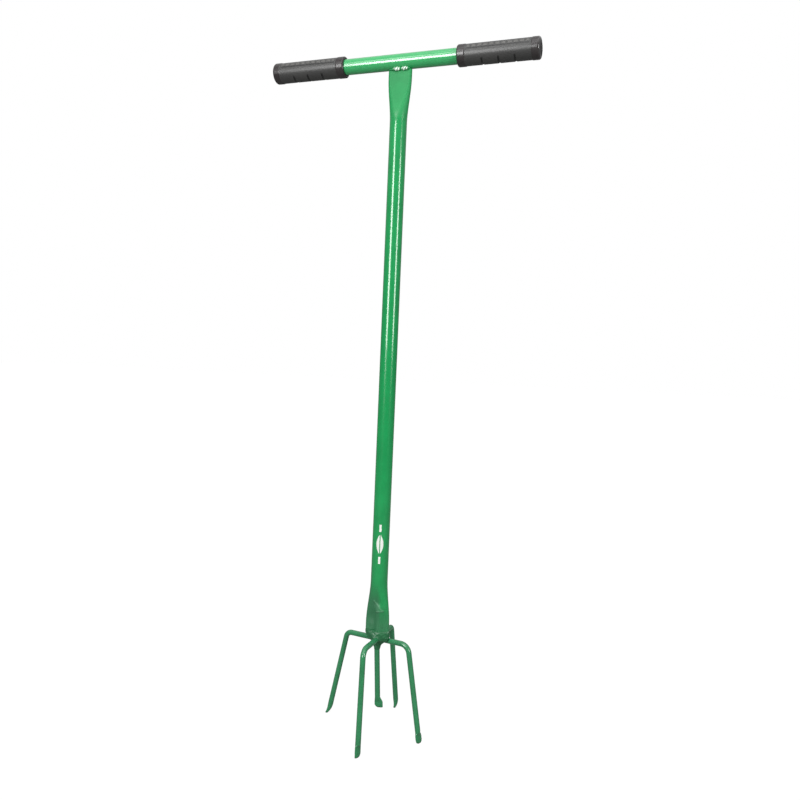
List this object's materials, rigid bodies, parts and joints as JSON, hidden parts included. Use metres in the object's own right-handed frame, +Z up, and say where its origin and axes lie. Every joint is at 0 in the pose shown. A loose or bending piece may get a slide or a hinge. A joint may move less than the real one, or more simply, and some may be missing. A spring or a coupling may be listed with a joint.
{
  "type": "lawn aerator fork",
  "caption": "Twist-type lawn aerator with a T-handle, a long round steel shaft and round-rod tines with flattened tips.",
  "frame": {"origin": "foot of the shaft's axis on the plane that the four outer tine tips stand on", "axes": "+Z up the shaft to the crossbar, +X along the crossbar to the right grip, +Y to the back"},
  "size_m": [0.404, 0.1775, 0.9979],
  "materials": {
    "tube_paint": "glossy green enamel on steel tube",
    "tine_paint": "green enamel on round steel rod, worn at the tips",
    "weld_paint": "green enamel over lumpy weld metal",
    "grip_plastic": "black moulded plastic, satin with smooth collars"
  },
  "bodies": {
    "root": {"shaft_tube": "tube_paint", "crossbar_tube": "tube_paint", "grip_left": "grip_plastic", "grip_right": "grip_plastic", "tine_pair": "tine_paint", "tine_front": "tine_paint", "tine_back": "tine_paint", "tine_centre": "tine_paint", "top_weld_front": "weld_paint", "top_weld_back": "weld_paint", "hub_weld": "weld_paint"}
  },
  "joints": []
}
